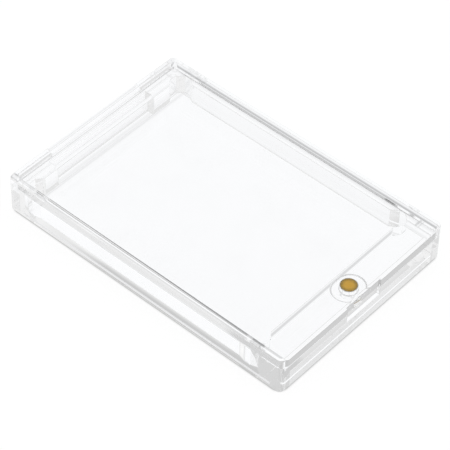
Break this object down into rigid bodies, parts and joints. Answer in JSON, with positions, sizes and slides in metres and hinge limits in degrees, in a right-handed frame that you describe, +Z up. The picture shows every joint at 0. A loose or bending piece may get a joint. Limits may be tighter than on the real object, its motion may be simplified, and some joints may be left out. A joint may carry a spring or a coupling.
{
  "type": "magnetic card holder",
  "caption": "Clear rigid holder for one thick trading card: a tray with a card pocket and a lid that hooks in at one end and shuts with a magnet.",
  "frame": {"origin": "middle of the underside of the closed holder", "axes": "+Z up out of the lid, Y along the holder with the hook end at +Y and the magnet end at -Y, X across"},
  "size_m": [0.073, 0.108, 0.0136],
  "materials": {
    "clear_acrylic": "polished clear moulded acrylic",
    "gold_plate": "gold plating with a fine brushed face"
  },
  "bodies": {
    "base": {"tray": "clear_acrylic", "tray_magnet": "gold_plate"},
    "cover": {"lid": "clear_acrylic", "lid_magnet": "gold_plate"}
  },
  "joints": [
    {"name": "lid_hinge", "type": "hinge", "parent": "base", "child": "cover", "pos_m": [0, 0.05185, 0.01215], "axis": [-1, 0, 0], "range_deg": [0, 30]}
  ]
}
